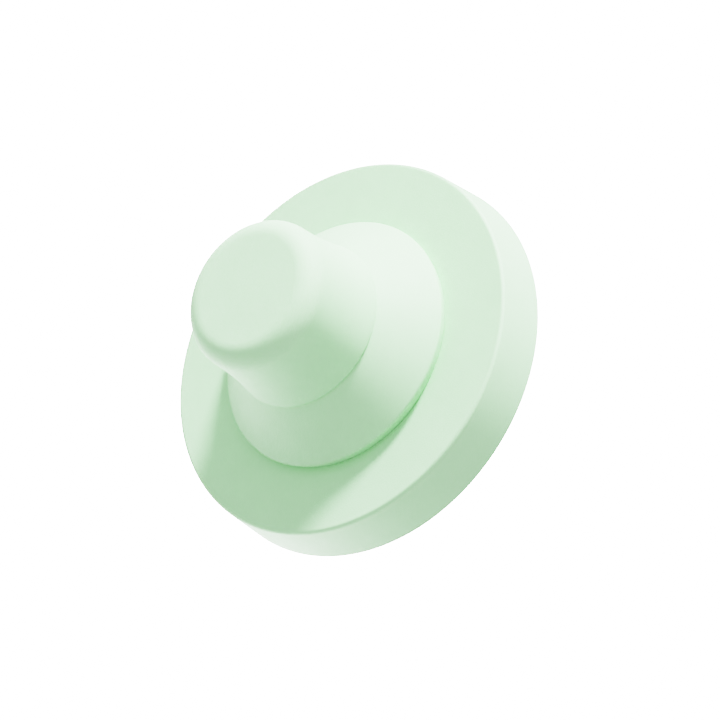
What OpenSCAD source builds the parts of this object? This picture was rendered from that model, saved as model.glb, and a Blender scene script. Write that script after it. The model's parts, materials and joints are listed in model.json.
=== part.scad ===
// Round pacifier with a hollow teat, a conical collar, a shield shell and a swinging ring handle.
// Every piece is drawn along +Z with the teat on top, then laid down so that the teat points to -Y.
// The origin is the centre of the shield's lip face, the plane that the lips rest on.

/* [Shield] */
// Outer diameter of the shield at its back edge
shield_d = 45; // [43:0.5:50]
// Thickness of the shield at its rim
shield_t = 6.4; // [5.8:0.1:7]
// Wall of the shield shell
shield_wall = 1.8; // [1.5:0.1:2]
// How much smaller the front edge's radius is than the back edge's
shield_draft = 0.3; // [0:0.1:0.6]
// Radius of the rounding on the shield's front edge
shield_edge_r = 0.4; // [0.3:0.1:0.8]
// Radius of the rounding on the shield's back edge
shield_back_r = 0.2; // [0.2:0.1:0.8]

/* [Collar] */
// Widest diameter of the collar, just above the shield
collar_d = 29.3; // [28:0.1:30]
// Diameter of the collar's top
collar_top_d = 18.9; // [18.6:0.1:19.3]
// Height of the collar above the lip face
collar_h = 6.5; // [6.3:0.1:7.5]
// Height of the collar's widest point
collar_rim_h = 1.2; // [1.1:0.1:1.6]
// Radius of the rounding at the collar's widest point
collar_rim_r = 0.4; // [0.3:0.1:1.2]
// How far the collar's foot is set in under its widest point
collar_foot_inset = 0.4; // [0.2:0.1:0.6]
// Wall of the collar
collar_wall = 1.5; // [1.2:0.1:1.6]

/* [Teat] */
// How far the teat stands out from the lip face
teat_reach = 17.7; // [16:0.1:22]
// Diameter of the teat near its tip
teat_tip_d = 17.9; // [16:0.1:18]
// Diameter of the teat where it meets the collar
teat_root_d = 19.5; // [19:0.1:20]
// Radius of the rounding at the tip
teat_tip_r = 2.4; // [1.2:0.1:2.6]
// Radius of the rounding at the root's edge
teat_root_edge_r = 0.2; // [0.1:0.1:0.4]
// How fast the teat's side draws in at its root
teat_root_flare = 1.7; // [0.8:0.1:2]
// Silicone wall
teat_wall = 1.7; // [1.5:0.1:1.9]

/* [Knob] */
// Diameter of the knob behind the shield
knob_d = 16.8; // [16:0.2:18]
// How far the knob stands out from the rear cover
knob_h = 5.8; // [5.6:0.1:6.2]

/* [Ring handle] */
// Diameter of the ring's centreline
ring_d = 28.8; // [27:0.2:29]
// Thickness of the ring's round section
ring_t = 3.8; // [3.4:0.1:4]
// Diameter of the ring's two hinge pins
pin_d = 3.24; // [3:0.02:3.4]

/* [Hidden] */
$fn = 96;
MINT = [0.84, 0.93, 0.85];
MERGE = 0.05;        // how far shapes of one piece run into each other

// Gaps between pieces
slip = 0.1;          // between pieces that only slide together once
face_gap = 0.05;     // between faces that rest on each other
pin_gap = 0.08;      // radial, between a hinge pin and its socket

// Radii
shield_r = shield_d / 2;
skirt_bore_r = shield_r - shield_wall;
collar_r = collar_d / 2;
collar_top_r = collar_top_d / 2;
foot_r = collar_r - collar_foot_inset;
foot_land = 0.8;      // width of the collar's foot that rests on the lip face
register_r = foot_r - foot_land;
seat_r = register_r + slip;
lip_inner_r = collar_r + slip;
teat_root_r = teat_root_d / 2;
teat_tip_side_r = teat_tip_d / 2;
shoulder_w = 0.9;    // width of the teat's shoulder on the collar's top
neck_r = teat_root_r - shoulder_w;
collar_bore_r = neck_r + slip;
spigot_wall = 1.4;
spigot_r = collar_bore_r + spigot_wall;
hub_hole_r = spigot_r + slip;
flange_w = 1.6;      // how far the teat's flange reaches past the spigot
flange_r = spigot_r + flange_w;
plug_r = neck_r - teat_wall - face_gap;
stem_r = 4.6;
knob_r = knob_d / 2;
snap = 0.3;          // how far a snap bead stands out

// Heights along the axis, measured from the lip face: the teat side is positive
seat_z = -0.35;                              // floor of the collar's seat
land_z = -0.1;                               // shallow land round the seat, under the collar's foot
foot_z = land_z + face_gap;
wall_back_z = -shield_wall;                  // back of the shield's front wall
spigot_reach = 0.85;                         // of the spigot behind the front wall
spigot_end_z = wall_back_z - spigot_reach;
teat_flange_t = 1.4;
plug_flange_t = 1.1;
teat_flange_z = [spigot_end_z - face_gap, spigot_end_z - face_gap - teat_flange_t];
plug_flange_z = [teat_flange_z[1] - face_gap, teat_flange_z[1] - face_gap - plug_flange_t];
cover_in_z = plug_flange_z[1] - face_gap;    // inside face of the cover's raised middle
cover_wall = 1.5;
cover_out_z = cover_in_z - cover_wall;       // outside face of the cover's raised middle
rim_z = -shield_t;                           // back edge of the shield
knob_z = cover_out_z - face_gap;
knob_top_z = knob_z - knob_h;
hinge_z = knob_z - 2.6;                      // height of the ring's hinge axis
cap_recess_z = knob_top_z + 1;
cap_r = 5.6;
socket_end = 5.6;                            // distance from the axis to a socket's blind end

// Points of an arc from angle a0 to a1, in the (radius, height) plane
function arc(c, r, a0, a1, n = 8) =
    [for (i = [0:n]) let (a = a0 + (a1 - a0) * i / n) c + r * [cos(a), sin(a)]];

// Smooth step from 0 to 1
function ease(t) = t * t * (3 - 2 * t);

// Points of the rounding of radius r at corner b, on the way from a to c
function rounding(a, b, c, r, n = 6) =
    let (u = (a - b) / norm(a - b), v = (c - b) / norm(c - b), half = acos(u * v) / 2,
         centre = b + (u + v) / norm(u + v) * r / sin(half),
         first = b + u * r / tan(half) - centre,
         turn = (cross(u, v) > 0 ? -1 : 1) * (180 - 2 * half))
    arc(centre, r, atan2(first[1], first[0]), atan2(first[1], first[0]) + turn, n);

// Lays a piece drawn along +Z down, so that +Z becomes -Y and +Y becomes +Z
module laid_down() rotate([90, 0, 0]) children();

module lathe(outline) laid_down() rotate_extrude() polygon(outline);

// Cup-shaped shell: lip face, skirt, seat for the collar, central hole and a fence for the teat's flange
module shield() {
    front_edge = [shield_r - shield_draft, 0];
    back_edge = [shield_r, rim_z];
    fence_r = flange_r + slip;
    fence_wall = 1;
    groove_z = rim_z + 1.1;
    color(MINT) {
        lathe(concat(
            [[hub_hole_r, seat_z], [seat_r, seat_z], [seat_r, land_z],
             [lip_inner_r, land_z], [lip_inner_r, 0]],
            rounding([lip_inner_r, 0], front_edge, back_edge, shield_edge_r),
            rounding(front_edge, back_edge, [skirt_bore_r, rim_z], shield_back_r),
            [[skirt_bore_r, rim_z],
             [skirt_bore_r, groove_z - snap], [skirt_bore_r + snap, groove_z],
             [skirt_bore_r + snap, groove_z + snap], [skirt_bore_r, groove_z + 2 * snap],
             [skirt_bore_r, wall_back_z], [hub_hole_r, wall_back_z]]
        ));
        lathe([[fence_r, wall_back_z + MERGE], [fence_r + fence_wall, wall_back_z + MERGE],
               [fence_r + fence_wall, teat_flange_z[1]], [fence_r, teat_flange_z[1]]]);
        shield_ribs(fence_r + fence_wall);
    }
}

// Radial ribs that stiffen the lip face from inside
module shield_ribs(from_r) {
    rib_count = 12;
    rib_t = 0.9;
    rib_depth = 1.6;
    laid_down() for (i = [0:rib_count - 1]) rotate(i * 360 / rib_count)
        translate([from_r - MERGE, -rib_t / 2, wall_back_z - rib_depth])
            cube([skirt_bore_r - from_r + 2 * MERGE, rib_t, rib_depth + MERGE]);
}

// Slightly raised lid that snaps into the back of the shell
module rear_cover() {
    edge_r = skirt_bore_r - slip;
    raised_r = flange_r + 0.6;
    bead_z = rim_z + 1.1;
    hole_r = stem_r + slip;
    chamfer = 0.3;
    color(MINT) lathe([
        [hole_r, cover_out_z], [raised_r, cover_out_z],
        [edge_r - chamfer - 0.6, rim_z - 0.05], [edge_r - chamfer, rim_z], [edge_r, rim_z + chamfer],
        [edge_r, bead_z], [edge_r + snap - slip / 2, bead_z + 0.1],
        [edge_r + snap - slip / 2, bead_z + 0.2], [edge_r, bead_z + 0.4],
        [edge_r, rim_z + 1.9], [edge_r - 1.2, rim_z + 1.9], [edge_r - 1.4, rim_z + cover_wall],
        [raised_r, cover_in_z], [hole_r, cover_in_z]
    ]);
}

// Hollow cone round the foot of the teat, with a spigot that snaps through the shield
module collar() {
    top = [collar_top_r, collar_h];
    rim = [collar_r, collar_rim_h];
    foot = [foot_r, foot_z];
    register_z = seat_z + face_gap;
    // the cone's inner wall is parallel to its outside
    run = rim - top;
    inward = collar_wall * norm(run) / -run[1];
    core_out_r = register_r - 1;
    core_in_z = inner_cone_z(spigot_r, inward);
    core_out_z = inner_cone_z(core_out_r, inward);
    color(MINT) lathe(concat(
        [[collar_bore_r, collar_h], top],
        rounding(top, rim, foot, collar_rim_r),
        [foot, [register_r, foot_z], [register_r, register_z], [core_out_r, register_z],
         [core_out_r, core_out_z], [spigot_r, core_in_z], [spigot_r, wall_back_z - face_gap],
         [spigot_r + snap, wall_back_z - face_gap - 0.1], [spigot_r + snap, wall_back_z - 0.4],
         [spigot_r - 0.1, spigot_end_z], [collar_bore_r, spigot_end_z]]
    ));
}

// Height at radius r of the collar's inner cone, which lies inward of its outside by a radial distance
function inner_cone_z(r, inward) =
    collar_h + (r + inward - collar_top_r) * (collar_rim_h - collar_h) / (collar_r - collar_top_r);

// Radius of the teat's side at t, from 0 at its root to 1 at its tip rounding
function teat_side_r(t) =
    teat_root_r - (teat_root_r - teat_tip_side_r) * ease(t) - teat_root_flare * t * pow(1 - t, 2);

// One silicone moulding: blunt bulb, shoulder on the collar, neck through the shield and flange behind it
module teat() {
    shoulder_z = collar_h + face_gap;
    side_z0 = shoulder_z + teat_root_edge_r;
    side_z1 = teat_reach - teat_tip_r;
    side_steps = 10;
    bore_r = neck_r - teat_wall;
    tip_wall = teat_wall + 0.2;
    side = [for (i = [0:side_steps]) let (t = i / side_steps)
        [teat_side_r(t), side_z0 + (side_z1 - side_z0) * t]];
    color(MINT) lathe(concat(
        [[0, teat_reach]],
        arc([teat_tip_side_r - teat_tip_r, side_z1], teat_tip_r, 90, 0, 10),
        [for (i = [side_steps - 1:-1:1]) side[i]],
        rounding(side[1], [teat_root_r, shoulder_z], [neck_r, shoulder_z], teat_root_edge_r, 4),
        [[neck_r, shoulder_z],
         [neck_r, teat_flange_z[0]], [flange_r, teat_flange_z[0]],
         [flange_r, teat_flange_z[1]], [bore_r, teat_flange_z[1]],
         [bore_r, teat_reach - tip_wall - 1.5]],
        arc([bore_r - 1.5, teat_reach - tip_wall - 1.5], 1.5, 15, 90, 5),
        [[0, teat_reach - tip_wall]]
    ));
}

// Rigid core that fills the teat's neck, clamps its flange and ends in four snap legs
module core_plug() {
    plug_wall = 1.4;
    nose_z = collar_h - 1;
    stem_end_z = cap_recess_z + 0.3;
    bead_z = stem_end_z + 0.9;
    floor_z = teat_flange_z[1] - 0.1;
    slot_w = 1.2;
    color(MINT) difference() {
        lathe([
            [plug_r - plug_wall, nose_z], [plug_r - 0.4, nose_z], [plug_r, nose_z - 0.6],
            [plug_r, plug_flange_z[0]], [flange_r, plug_flange_z[0]], [flange_r, plug_flange_z[1]],
            [stem_r, plug_flange_z[1]], [stem_r, bead_z], [stem_r + snap, bead_z - 0.1],
            [stem_r + snap, bead_z - 0.4], [stem_r - 0.2, stem_end_z], [stem_r - 1.3, stem_end_z],
            [stem_r - 1.3, plug_flange_z[1]], [0, plug_flange_z[1]],
            [0, floor_z], [plug_r - plug_wall, floor_z]
        ]);
        laid_down() for (a = [0, 90]) rotate(a + 45)
            translate([-knob_r, -slot_w / 2, stem_end_z - 1]) cube([knob_d, slot_w, 4]);
    }
}

// Knob behind the rear cover, with two blind sockets for the ring's pins and a recess for the button
module knob() {
    undercut_z = cap_recess_z + 1.35;
    crown_r = 1.5;
    foot_flare = 0.5;
    color(MINT) difference() {
        lathe(concat(
            [[stem_r + slip, knob_z]],
            [[knob_r + foot_flare, knob_z], [knob_r + foot_flare, knob_z - 0.2]],
            [[knob_r + 0.12, knob_z - 0.55], [knob_r, knob_z - 0.8]],
            arc([knob_r - crown_r, knob_top_z + crown_r], crown_r, 0, -90),
            [[cap_r, knob_top_z], [cap_r, cap_recess_z],
             [stem_r + snap + slip, cap_recess_z], [stem_r + snap + slip, undercut_z],
             [stem_r + slip, undercut_z + 0.15]]
        ));
        laid_down() for (side = [0, 180]) rotate(side)
            translate([socket_end, 0, hinge_z]) rotate([0, 90, 0])
                cylinder(r = pin_d / 2 + pin_gap, h = knob_r);
    }
}

// Domed disc pressed into the knob, which hides the snap legs
module button_cap() {
    disc_r = cap_r - face_gap;
    crown = 0.6;
    steps = 8;
    edge_z = knob_top_z + 0.05;
    dome = [for (i = [0:steps]) let (t = i / steps)
        [disc_r * (1 - t), edge_z - crown * (1 - pow(1 - t, 2))]];
    color(MINT) lathe(concat([[0, cap_recess_z - face_gap], [disc_r, cap_recess_z - face_gap]], dome));
}

// D-shaped ring: a long arc, a knuckle at each end of it and two straight arms that end in hinge pins
module ring_handle() {
    ring_r = ring_d / 2;
    drop = 3.2;                              // the ring's centre below the hinge axis
    knuckle_r = ring_t / 2 + 0.15;
    start = asin(drop / ring_r);             // angle where the long arc ends, at the hinge's height
    knuckle_x = ring_r * cos(start);
    shoulder_x = knob_r + 0.45;
    pin_end_x = socket_end + 0.1;
    color(MINT) laid_down() translate([0, 0, hinge_z]) {
        translate([0, -drop, 0]) rotate(180 - start) rotate_extrude(angle = 180 + 2 * start)
            translate([ring_r, 0]) circle(d = ring_t);
        for (side = [0, 180]) rotate([0, side, 0]) {
            translate([knuckle_x, 0, 0]) sphere(r = knuckle_r);
            translate([shoulder_x, 0, 0]) rotate([0, 90, 0])
                cylinder(d = ring_t, h = knuckle_x - shoulder_x);
            translate([pin_end_x, 0, 0]) rotate([0, 90, 0])
                cylinder(d = pin_d, h = shoulder_x - pin_end_x + 1);
        }
    }
}

shield();
rear_cover();
collar();
teat();
core_plug();
knob();
button_cap();
ring_handle();
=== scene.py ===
import json
import math

import bmesh
import bpy
from mathutils import Matrix, Vector


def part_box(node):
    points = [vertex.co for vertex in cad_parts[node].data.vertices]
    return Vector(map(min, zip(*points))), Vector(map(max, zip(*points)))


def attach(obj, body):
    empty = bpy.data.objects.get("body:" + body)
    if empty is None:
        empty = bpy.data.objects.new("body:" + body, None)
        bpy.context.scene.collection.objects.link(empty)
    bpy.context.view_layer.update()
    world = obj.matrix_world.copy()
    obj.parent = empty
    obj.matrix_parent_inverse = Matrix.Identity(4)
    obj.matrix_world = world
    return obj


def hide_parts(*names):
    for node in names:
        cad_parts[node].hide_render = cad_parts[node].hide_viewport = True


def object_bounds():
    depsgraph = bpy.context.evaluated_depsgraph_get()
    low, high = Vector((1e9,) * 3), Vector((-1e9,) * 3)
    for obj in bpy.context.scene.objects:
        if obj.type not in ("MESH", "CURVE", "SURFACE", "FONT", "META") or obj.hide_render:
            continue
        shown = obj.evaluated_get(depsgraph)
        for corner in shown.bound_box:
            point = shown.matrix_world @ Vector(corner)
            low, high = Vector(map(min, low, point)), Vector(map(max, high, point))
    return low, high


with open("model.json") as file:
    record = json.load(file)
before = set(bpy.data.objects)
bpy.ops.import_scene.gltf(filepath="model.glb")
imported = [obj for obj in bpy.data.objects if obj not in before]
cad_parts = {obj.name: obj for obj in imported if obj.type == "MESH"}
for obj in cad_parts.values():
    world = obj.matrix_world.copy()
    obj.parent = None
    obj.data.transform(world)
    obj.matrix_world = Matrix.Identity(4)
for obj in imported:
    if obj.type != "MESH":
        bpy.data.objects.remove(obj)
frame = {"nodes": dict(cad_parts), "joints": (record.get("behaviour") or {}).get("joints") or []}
CAD_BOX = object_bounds()

MM = 0.001
SEGMENTS = 192           # steps round each turned piece
ARC_STEP = math.radians(9)
SUPPORT_GAP = 0.12       # of the points that keep a flat stretch flat, from its ends

# ---------------------------------------------------------------- sizes, in millimetres
# Heights run along the teat's axis from the lip face: positive towards the tip.


def far_edge(node):
    """Outer radius of a turned node, in millimetres."""
    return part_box(node)[1].x / MM


def height_of(y):
    """Height along the teat's axis, in millimetres, of a place at y in the frame."""
    return -y / MM


SHIELD_R = far_edge("shield")
SHIELD_BACK_H = height_of(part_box("shield")[1].y)
SHIELD_DRAFT = 0.3       # how much smaller the front edge's radius is than the back edge's
SHIELD_EDGE = 0.4        # roundings of the front and back edges
SHIELD_BACK_EDGE = 0.2
SHIELD_WALL = 1.8
SKIRT_BORE_R = SHIELD_R - SHIELD_WALL
SEAT_H = -0.35           # floor of the collar's seat

COLLAR_RIM_CUT = 0.055   # how much the rounding of its widest edge takes off the corner there
COLLAR_R = far_edge("collar") + COLLAR_RIM_CUT
COLLAR_H = height_of(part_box("collar")[0].y)
COLLAR_TOP_R = 9.45
COLLAR_RIM_H = 1.2       # height of the widest edge, and its rounding
COLLAR_RIM_ROUND = 0.4
FOOT_R = COLLAR_R - 0.4
FOOT_LAND = 0.8          # width of the collar's foot that rests on the lip face, round the seat

TEAT_H = height_of(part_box("teat")[0].y)
TEAT_ROOT_R = 9.75
TEAT_ROOT_EDGE = 0.2     # rounding of the root's edge
TEAT_ROOT_FLARE = 1.7    # how fast the side draws in at the root
TEAT_TIP_R = 8.95
TEAT_TIP_ROUND = 2.4
TEAT_WALL = 1.7
TIP_WALL = 1.9
FLANGE_R = far_edge("teat")
NECK_R = FLANGE_R - 3.1
FLANGE_H = height_of(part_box("teat")[1].y)
FLANGE_T = 1.4
GAP = 0.05               # between faces that rest on each other
SLIP = 0.1               # between round pieces that fit in each other

COVER_OUT_H = height_of(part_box("rear_cover")[1].y)
COVER_WALL = 1.5
STEM_R = 4.6             # of the core that the cover and the knob sit on
KNOB_FLARE = 0.5         # how much wider the knob's foot is
KNOB_R = far_edge("knob") - KNOB_FLARE
KNOB_H = height_of(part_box("knob")[0].y)
KNOB_TOP_H = height_of(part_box("knob")[1].y)
CAP_R = far_edge("button_cap")
CAP_H = height_of(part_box("button_cap")[0].y)
HINGE = next(j for j in frame["joints"] if j["name"] == "ring_hinge")["pos_m"]
RING_R = 14.4
RING_T = 3.8
RING_DROP = 3.2          # of the ring's centre below the hinge axis
RING_ELBOW = 2.6         # radius of the bends between the ring's arc and its arms
PIN_R = 1.62
PIN_GAP = 0.08           # between a hinge pin and its socket
PIN_END_X = 5.7


# ---------------------------------------------------------------- mesh tools

def arc(cx, cy, r, a0, a1):
    """Points of an arc in the (radius, height) plane, angles in degrees."""
    steps = max(2, math.ceil(abs(math.radians(a1 - a0)) / ARC_STEP))
    angles = [math.radians(a0 + (a1 - a0) * i / steps) for i in range(steps + 1)]
    return [(cx + r * math.cos(a), cy + r * math.sin(a)) for a in angles]


def rounded(corners):
    """A closed outline from (radius, height, rounding) corners, each rounded by an arc."""
    points = []
    for i, corner in enumerate(corners):
        here = Vector(corner[:2])
        r = corner[2] if len(corner) > 2 else 0
        if not r:
            points.append(tuple(here))
            continue
        back = (Vector(corners[i - 1][:2]) - here).normalized()
        on = (Vector(corners[(i + 1) % len(corners)][:2]) - here).normalized()
        half = back.angle(on) / 2
        centre = here + (back + on).normalized() * r / math.sin(half)
        start, end = here + back * r / math.tan(half), here + on * r / math.tan(half)
        a0 = math.atan2(*(start - centre).yx)
        turn = math.remainder(math.atan2(*(end - centre).yx) - a0, math.tau)
        points += arc(*centre, r, math.degrees(a0), math.degrees(a0 + turn))
    return points


def with_support(points):
    """Adds a point near both ends of each long straight stretch, so that flats shade flat."""
    out = []
    for i, p in enumerate(points):
        q = points[(i + 1) % len(points)]
        out.append(p)
        length = math.dist(p, q)
        if length > 5 * SUPPORT_GAP:
            for t in (SUPPORT_GAP / length, 1 - SUPPORT_GAP / length):
                out.append((p[0] + (q[0] - p[0]) * t, p[1] + (q[1] - p[1]) * t))
    return out


def finish_mesh(name, bm, material, body, node):
    """Makes a smooth piece of a bmesh, which rides a body and stands for a CAD node."""
    bmesh.ops.remove_doubles(bm, verts=bm.verts, dist=1e-7)
    bmesh.ops.recalc_face_normals(bm, faces=bm.faces)
    mesh = bpy.data.meshes.new(name)
    bm.to_mesh(mesh)
    bm.free()
    for polygon in mesh.polygons:
        polygon.use_smooth = True
    mesh.materials.append(material)
    piece = bpy.data.objects.new(name, mesh)
    bpy.context.scene.collection.objects.link(piece)
    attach(piece, body)
    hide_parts(node)
    return piece


def turned(outline):
    """A bmesh turned about the teat's axis from a closed (radius, height) outline."""
    bm = bmesh.new()
    rings = []
    for r, h in with_support(outline):
        if r < 1e-6:
            rings.append([bm.verts.new((0, -h * MM, 0))] * SEGMENTS)
            continue
        ring = []
        for i in range(SEGMENTS):
            a = math.tau * i / SEGMENTS
            ring.append(bm.verts.new((r * math.cos(a) * MM, -h * MM, r * math.sin(a) * MM)))
        rings.append(ring)
    for k, low in enumerate(rings):
        high = rings[(k + 1) % len(rings)]
        for i in range(SEGMENTS):
            j = (i + 1) % SEGMENTS
            corners = list(dict.fromkeys((low[i], low[j], high[j], high[i])))
            if len(corners) > 2:
                bm.faces.new(corners)
    return bm


def cut(piece, cutter_bm):
    """Cuts a closed bmesh out of a piece and keeps the piece's own mesh as the result."""
    mesh = bpy.data.meshes.new("cutter")
    cutter_bm.to_mesh(mesh)
    cutter_bm.free()
    cutter = bpy.data.objects.new("cutter", mesh)
    bpy.context.scene.collection.objects.link(cutter)
    modifier = piece.modifiers.new("cut", "BOOLEAN")
    modifier.operation = "DIFFERENCE"
    modifier.solver = "EXACT"
    modifier.object = cutter
    graph = bpy.context.evaluated_depsgraph_get()
    result = bpy.data.meshes.new_from_object(piece.evaluated_get(graph))
    piece.modifiers.clear()
    piece.data = result
    bpy.data.objects.remove(cutter)


# ---------------------------------------------------------------- materials

MINT = (0.46, 0.77, 0.46)
IOR = 1.42
MOTTLE = 0.015           # how much the colour and the roughness vary, up and down
GLOSS_SPREAD = 0.04


def shade(colour, k):
    return (colour[0] * k, colour[1] * k, colour[2] * k, 1)


def moulded(name, colour, roughness, grain_mm, grain_depth_mm, subsurface):
    """Matte moulded plastic or silicone: faint mottling, uneven gloss and a fine eroded grain."""
    material = bpy.data.materials.new(name)
    material.use_nodes = True
    tree = material.node_tree
    shader = tree.nodes["Principled BSDF"]
    place = tree.nodes.new("ShaderNodeTexCoord").outputs["Object"]

    def noise(size_mm, detail):
        node = tree.nodes.new("ShaderNodeTexNoise")
        node.inputs["Scale"].default_value = 1 / (size_mm * MM)
        node.inputs["Detail"].default_value = detail
        tree.links.new(place, node.inputs["Vector"])
        return node.outputs["Fac"]

    def ramp(source, low, high, low_colour, high_colour):
        node = tree.nodes.new("ShaderNodeValToRGB")
        first, last = node.color_ramp.elements
        first.position, first.color = low, low_colour
        last.position, last.color = high, high_colour
        tree.links.new(source, node.inputs["Fac"])
        return node.outputs["Color"]

    mottled = ramp(noise(6, 4), 0.35, 0.65, shade(colour, 1 - MOTTLE), shade(colour, 1 + MOTTLE))
    tree.links.new(mottled, shader.inputs["Base Color"])
    white = (1, 1, 1)
    gloss = ramp(noise(1.6, 5), 0.3, 0.7,
                 shade(white, roughness - GLOSS_SPREAD), shade(white, roughness + GLOSS_SPREAD))
    tree.links.new(gloss, shader.inputs["Roughness"])
    bump = tree.nodes.new("ShaderNodeBump")
    bump.inputs["Distance"].default_value = grain_depth_mm * MM
    bump.inputs["Strength"].default_value = 0.5
    tree.links.new(noise(grain_mm, 3), bump.inputs["Height"])
    tree.links.new(bump.outputs["Normal"], shader.inputs["Normal"])
    shader.inputs["IOR"].default_value = IOR
    shader.inputs["Subsurface Weight"].default_value = subsurface
    shader.inputs["Subsurface Radius"].default_value = (1, 1.1, 0.9)
    shader.inputs["Subsurface Scale"].default_value = 0.6 * MM
    return material


PLASTIC = moulded("matte_polypropylene", MINT, 0.62, 0.22, 0.02, 0.15)
SILICONE = moulded("soft_silicone", MINT, 0.7, 0.35, 0.015, 0.25)


# ---------------------------------------------------------------- pieces

def make_shield():
    hole_r = NECK_R + 1.6
    seat_r = FOOT_R - FOOT_LAND + SLIP
    outline = rounded([
        (hole_r, SEAT_H, 0.1), (seat_r, SEAT_H, 0.1), (seat_r, 0, 0.1),
        (SHIELD_R - SHIELD_DRAFT, 0, SHIELD_EDGE), (SHIELD_R, SHIELD_BACK_H, SHIELD_BACK_EDGE),
        (SKIRT_BORE_R, SHIELD_BACK_H, 0.15), (SKIRT_BORE_R, -SHIELD_WALL, 0.4), (hole_r, -SHIELD_WALL, 0.2),
    ])
    finish_mesh("shield_shell", turned(outline), PLASTIC, "soother", "shield")


def make_collar():
    bore_r = NECK_R + SLIP
    spigot_r = bore_r + 1.4
    back = height_of(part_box("collar")[1].y)
    foot = GAP / 5
    register_r = FOOT_R - FOOT_LAND
    register_h = SEAT_H + GAP
    outline = rounded([
        (bore_r, COLLAR_H, 0.1), (COLLAR_TOP_R, COLLAR_H, 0.05), (COLLAR_R, COLLAR_RIM_H, COLLAR_RIM_ROUND),
        (FOOT_R, foot), (register_r, foot), (register_r, register_h, 0.1), (spigot_r, register_h, 0.1),
        (spigot_r, back, 0.2), (bore_r, back, 0.1),
    ])
    finish_mesh("collar_cone", turned(outline), PLASTIC, "soother", "collar")


def teat_side():
    """Outline of the teat's side, from its root to its tip rounding, where it runs straight on."""
    low, high = COLLAR_H + GAP + TEAT_ROOT_EDGE, TEAT_H - TEAT_TIP_ROUND
    steps = 20
    points = []
    for i in range(steps + 1):
        t = i / steps
        ease = t * t * (3 - 2 * t)
        r = TEAT_ROOT_R - (TEAT_ROOT_R - TEAT_TIP_R) * ease - TEAT_ROOT_FLARE * t * (1 - t) ** 2
        points.append((r, low + (high - low) * t))
    return points


def make_teat():
    root_h = COLLAR_H + GAP
    side = teat_side()
    bore_r = NECK_R - TEAT_WALL
    tip_in = TEAT_H - TIP_WALL
    tip_round = arc(TEAT_TIP_R - TEAT_TIP_ROUND, TEAT_H - TEAT_TIP_ROUND, TEAT_TIP_ROUND, 90, 0)
    inside = rounded([
        side[1], (TEAT_ROOT_R, root_h, TEAT_ROOT_EDGE), (NECK_R, root_h, 0.1),
        (NECK_R, FLANGE_H + FLANGE_T, 0.2), (FLANGE_R, FLANGE_H + FLANGE_T, 0.3), (FLANGE_R, FLANGE_H, 0.3),
        (bore_r, FLANGE_H, 0.2), (bore_r, tip_in, 1.5), (0, tip_in),
    ])
    outline = [(0, TEAT_H)] + tip_round + side[-2:1:-1] + inside
    finish_mesh("teat_bulb", turned(outline), SILICONE, "soother", "teat")


def make_rear_cover():
    edge_r = SKIRT_BORE_R - SLIP
    raised_r = FLANGE_R + 0.6
    hole_r = STEM_R + SLIP
    inside = COVER_OUT_H + COVER_WALL
    skirt = SHIELD_BACK_H + 1.9
    outline = rounded([
        (hole_r, COVER_OUT_H, 0.1), (raised_r, COVER_OUT_H, 3), (edge_r, SHIELD_BACK_H, 0.2),
        (edge_r, skirt, 0.1), (edge_r - 1.3, skirt, 0.1), (raised_r, inside, 1), (hole_r, inside, 0.1),
    ])
    finish_mesh("rear_cover_lid", turned(outline), PLASTIC, "soother", "rear_cover")


def make_knob():
    hole_r = STEM_R + SLIP
    foot_r = KNOB_R + KNOB_FLARE
    recess_r = CAP_R + GAP
    recess_h = CAP_H - 0.1
    outline = rounded([
        (hole_r, KNOB_H, 0.1), (foot_r, KNOB_H, 0.1), (foot_r, KNOB_H - 0.35, 0.15),
        (KNOB_R, KNOB_H - 0.9, 0.5), (KNOB_R, KNOB_TOP_H, 1.5), (recess_r, KNOB_TOP_H, 0.2),
        (recess_r, recess_h, 0.05), (hole_r, recess_h, 0.1),
    ])
    knob = finish_mesh("knob_body", turned(outline), PLASTIC, "soother", "knob")
    sockets = bmesh.new()
    out_x = KNOB_R + 1
    in_x = PIN_END_X - SLIP
    radius = (PIN_R + PIN_GAP) * MM
    for side in (-1, 1):
        middle = Vector((side * (in_x + out_x) / 2 * MM, HINGE[1], HINGE[2]))
        place = Matrix.Translation(middle) @ Matrix.Rotation(math.pi / 2, 4, "Y")
        bmesh.ops.create_cone(sockets, cap_ends=True, segments=64, radius1=radius, radius2=radius,
                              depth=(out_x - in_x) * MM, matrix=place)
    cut(knob, sockets)


def make_button_cap():
    edge_h = KNOB_TOP_H + GAP
    crown = edge_h - height_of(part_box("button_cap")[1].y)
    steps = 14
    dome = []
    for i in range(1, steps + 1):
        t = 1 - i / steps
        dome.append((CAP_R * t, edge_h - crown * (1 - t ** 2)))
    edge = rounded([(CAP_R - 1, CAP_H), (CAP_R, CAP_H, 0.1), (CAP_R, edge_h, 0.12), dome[0]])
    outline = [(0, CAP_H)] + edge + dome[1:]
    finish_mesh("button_disc", turned(outline), PLASTIC, "soother", "button_cap")


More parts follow.
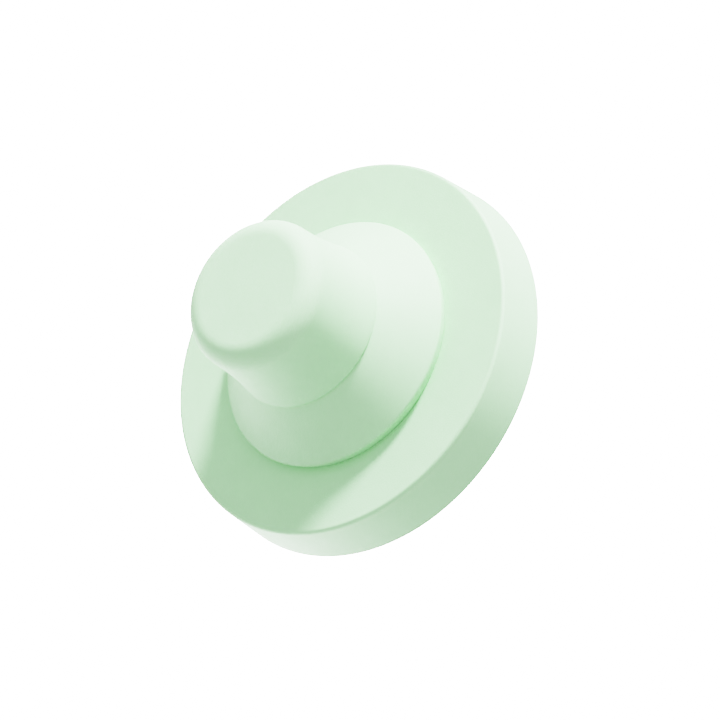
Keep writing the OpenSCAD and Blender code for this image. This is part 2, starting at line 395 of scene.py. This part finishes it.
def ring_path():
    """Points (x, z, radius) along the ring's centreline from one pin's end to the other's."""
    thick = RING_T / 2
    start = math.asin((RING_DROP - RING_ELBOW) / (RING_R - RING_ELBOW))
    elbow_x = (RING_R - RING_ELBOW) * math.cos(start)
    shoulder = KNOB_R + 0.45
    half = [
        (PIN_END_X, 0, PIN_R - 0.25), (PIN_END_X + 0.1, 0, PIN_R - 0.06), (PIN_END_X + 0.25, 0, PIN_R),
        (shoulder, 0, PIN_R), (shoulder + 0.02, 0, thick - 0.25), (shoulder + 0.1, 0, thick - 0.07),
        (shoulder + 0.3, 0, thick), (shoulder + 1.2, 0, thick), (elbow_x - 0.4, 0, thick),
    ]
    elbow_steps = 14
    for i in range(elbow_steps + 1):
        a = math.pi / 2 + (start - math.pi / 2) * i / elbow_steps
        half.append((elbow_x + RING_ELBOW * math.cos(a), RING_ELBOW * (math.sin(a) - 1), thick))
    ring_steps = 60
    for i in range(1, ring_steps + 1):
        a = start + (-math.pi / 2 - start) * i / ring_steps
        half.append((RING_R * math.cos(a), -RING_DROP + RING_R * math.sin(a), thick))
    return half + [(-x, z, r) for x, z, r in half[-2::-1]]


def make_ring():
    sides = 48
    bm = bmesh.new()
    path = ring_path()
    loops = []
    for i, (x, z, r) in enumerate(path):
        before, after = path[max(i - 1, 0)], path[min(i + 1, len(path) - 1)]
        along = Vector((after[0] - before[0], after[1] - before[1])).normalized()
        across = Vector((-along.y, along.x))
        loop = []
        for k in range(sides):
            a = math.tau * k / sides
            out = across * r * math.cos(a)
            y = HINGE[1] + r * math.sin(a) * MM
            loop.append(bm.verts.new(((x + out.x) * MM, y, HINGE[2] + (z + out.y) * MM)))
        loops.append(loop)
    for low, high in zip(loops, loops[1:]):
        for k in range(sides):
            j = (k + 1) % sides
            bm.faces.new((low[k], low[j], high[j], high[k]))
    bm.faces.new(loops[0])
    bm.faces.new(loops[-1])
    finish_mesh("ring_loop", bm, PLASTIC, "ring", "ring_handle")


make_shield()
make_collar()
make_teat()
make_rear_cover()
make_knob()
make_button_cap()
make_ring()
frame["nodes"]["core_plug"].data.materials.clear()
frame["nodes"]["core_plug"].data.materials.append(PLASTIC)


# ---------------------------------------------------------------- camera

AXIS_ANGLE = math.radians(43.5)    # between the teat's axis and the line to the camera
AXIS_SLANT = math.radians(32.4)    # of the teat's axis in the picture, above the horizontal
ROLL = math.radians(45)            # of the frame's up, from the picture's up to its right
LENS = 1000
SENSOR = 36
VIEW_WIDTH = 80 * MM               # width of the picture at the object
AIM = (2.19 * MM, -1.35 * MM)      # the picture's centre, right of and above the frame's origin


def camera_turn():
    """Rotation of a camera that sees the teat's axis at the angles above."""
    tip = Vector((-math.sin(AXIS_ANGLE) * math.cos(AXIS_SLANT),
                  math.sin(AXIS_ANGLE) * math.sin(AXIS_SLANT), math.cos(AXIS_ANGLE)))
    flat = -(tip.x * math.sin(ROLL) + tip.y * math.cos(ROLL)) / tip.z
    up = Vector((math.sin(ROLL), math.cos(ROLL), flat)).normalized()
    world_y = -tip
    world_x = world_y.cross(up)
    return Matrix((world_x, world_y, up))   # rows are the frame's axes as the camera sees them


def make_camera():
    turn = camera_turn()
    data = bpy.data.cameras.new("camera")
    data.lens = LENS
    data.sensor_width = SENSOR
    distance = VIEW_WIDTH * LENS / SENSOR
    data.clip_start = distance * 0.2
    data.clip_end = distance * 20
    camera = bpy.data.objects.new("camera", data)
    place = turn @ Vector((*AIM, distance))
    camera.matrix_world = Matrix.Translation(place) @ turn.to_4x4()
    bpy.context.scene.collection.objects.link(camera)
    bpy.context.scene.camera = camera


make_camera()


# ---------------------------------------------------------------- stage and light

WHITE = 24               # strength of the floor and the backdrop as the camera sees them
FROM_BELOW = 0.69        # strengths of the soft light from all round
FROM_ABOVE = 0.83


def make_floor():
    """A plain white floor, which only the camera sees: the studio's soft light comes from the world."""
    bm = bmesh.new()
    bmesh.ops.create_circle(bm, cap_ends=True, segments=64, radius=6)
    mesh = bpy.data.meshes.new("floor")
    bm.to_mesh(mesh)
    bm.free()
    floor = bpy.data.objects.new("floor", mesh)
    floor.location.z = CAD_BOX[0].z - 0.05
    floor.visible_diffuse = floor.visible_glossy = floor.visible_transmission = floor.visible_shadow = False
    bpy.context.scene.collection.objects.link(floor)
    material = bpy.data.materials.new("pale_floor")
    material.use_nodes = True
    shader = material.node_tree.nodes["Principled BSDF"]
    shader.inputs["Base Color"].default_value = (0, 0, 0, 1)
    shader.inputs["Specular IOR Level"].default_value = 0
    shader.inputs["Emission Color"].default_value = (1, 1, 1, 1)
    shader.inputs["Emission Strength"].default_value = WHITE
    mesh.materials.append(material)


def make_world():
    """Soft light from all round, and plain white where the camera sees it."""
    world = bpy.data.worlds.new("studio")
    world.use_nodes = True
    tree = world.node_tree
    background = tree.nodes["Background"]
    background.inputs["Color"].default_value = (1, 1, 1, 1)
    direction = tree.nodes.new("ShaderNodeSeparateXYZ")
    tree.links.new(tree.nodes.new("ShaderNodeTexCoord").outputs["Generated"], direction.inputs["Vector"])
    lighting = tree.nodes.new("ShaderNodeMapRange")
    lighting.inputs["From Min"].default_value = -0.05
    lighting.inputs["From Max"].default_value = 0.05
    lighting.inputs["To Min"].default_value = FROM_BELOW
    lighting.inputs["To Max"].default_value = FROM_ABOVE
    tree.links.new(direction.outputs["Z"], lighting.inputs["Value"])
    strength = tree.nodes.new("ShaderNodeMix")
    strength.inputs["B"].default_value = WHITE
    tree.links.new(tree.nodes.new("ShaderNodeLightPath").outputs["Is Camera Ray"], strength.inputs["Factor"])
    tree.links.new(lighting.outputs["Result"], strength.inputs["A"])
    tree.links.new(strength.outputs["Result"], background.inputs["Strength"])
    bpy.context.scene.world = world


def sun(name, azimuth, elevation, strength, angle):
    """A soft distant light, as the camera sees it: azimuth is from the picture's right round towards
    its top, and elevation is out of the picture towards the camera. All angles are in degrees."""
    data = bpy.data.lights.new(name, "SUN")
    data.energy = strength
    data.angle = math.radians(angle)
    light = bpy.data.objects.new(name, data)
    bpy.context.scene.collection.objects.link(light)
    azimuth, elevation = math.radians(azimuth), math.radians(elevation)
    flat = math.cos(elevation)
    towards = Vector((flat * math.cos(azimuth), flat * math.sin(azimuth), math.sin(elevation)))
    light.matrix_world = (camera_turn() @ towards).to_track_quat("Z", "Y").to_matrix().to_4x4()


make_floor()
make_world()
sun("key", 73.7, 12.3, 7.9, 11)
sun("fill", -125, -47, 4.8, 60)
bpy.context.scene.view_settings.view_transform = "Filmic"
bpy.context.scene.view_settings.look = "Very High Contrast"
